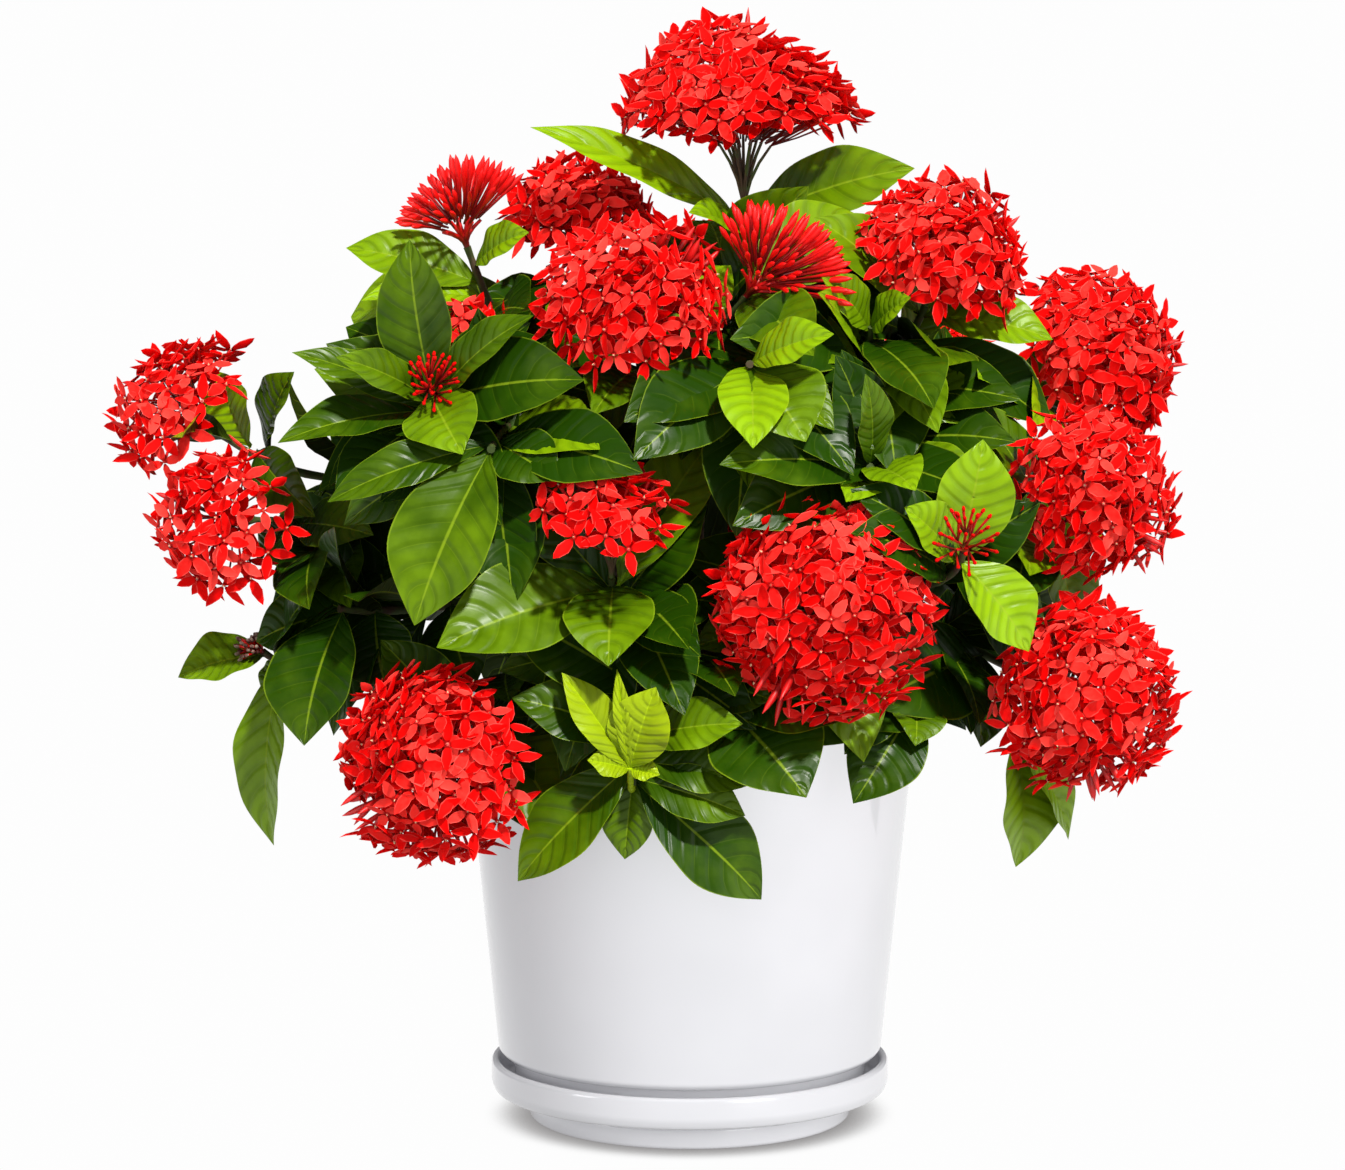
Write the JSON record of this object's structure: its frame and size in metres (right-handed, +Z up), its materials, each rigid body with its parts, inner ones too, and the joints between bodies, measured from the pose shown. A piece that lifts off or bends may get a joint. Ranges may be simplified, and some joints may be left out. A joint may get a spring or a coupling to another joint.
{
  "type": "potted flowering shrub",
  "caption": "Rounded evergreen shrub with domed heads of small red star flowers and glossy elliptic leaves, growing in soil in a tapered glazed pot on a matching saucer",
  "frame": {"origin": "centre of the flat underside of the saucer, on the ground", "axes": "+Z up along the trunk; -Y is the front, which shows the most flower heads; +X is to the right seen from the front"},
  "size_m": [0.54, 0.3921, 0.5594],
  "materials": {
    "glaze": "smooth glossy white glaze",
    "soil": null,
    "bark": "rough grey brown bark",
    "foliage": null,
    "new_growth": null,
    "petal": null,
    "bud": null
  },
  "bodies": {
    "root": {"saucer": "glaze", "pot": "glaze", "soil": "soil", "woody_stems": "bark", "shoot_young": "new_growth", "shoot_top": "foliage", "head_top": "petal", "shoot_crown_left": "foliage", "head_crown_left": "petal", "shoot_front_high": "foliage", "head_front_high": "petal", "shoot_right_high": "foliage", "head_right_high": "petal", "shoot_right_upper": "foliage", "head_right_upper": "petal", "shoot_right_middle": "foliage", "head_right_middle": "petal", "shoot_right_low": "foliage", "head_right_low": "petal", "shoot_front_right": "foliage", "head_front_right": "petal", "shoot_front_left": "foliage", "head_front_left": "petal", "shoot_far_left": "foliage", "head_far_left": "petal", "shoot_left_middle": "foliage", "head_left_middle": "petal", "shoot_front_middle": "foliage", "head_front_middle": "petal", "shoot_left_inner": "foliage", "head_left_inner": "petal", "shoot_back_left": "foliage", "head_back_left": "petal", "shoot_back_middle": "foliage", "head_back_middle": "petal", "shoot_back_right": "foliage", "head_back_right": "petal", "shoot_back_low": "foliage", "head_back_low": "petal", "shoot_left_crown": "foliage", "head_left_crown": "bud", "shoot_front_crown": "foliage", "head_front_crown": "bud", "shoot_left_upper": "foliage", "head_left_upper": "bud", "shoot_right_front": "foliage", "head_right_front": "bud", "shoot_left_low": "foliage", "head_left_low": "bud", "shoot_front_low": "foliage", "shoot_front_rim": "foliage", "shoot_left_front": "foliage", "shoot_centre_right": "foliage", "shoot_right_inner": "foliage", "shoot_right_crown": "foliage", "shoot_left_skirt": "foliage", "shoot_right_skirt": "foliage", "shoot_right_rim": "foliage", "shoot_back_skirt_left": "foliage", "shoot_back_skirt_right": "foliage"}
  },
  "joints": []
}
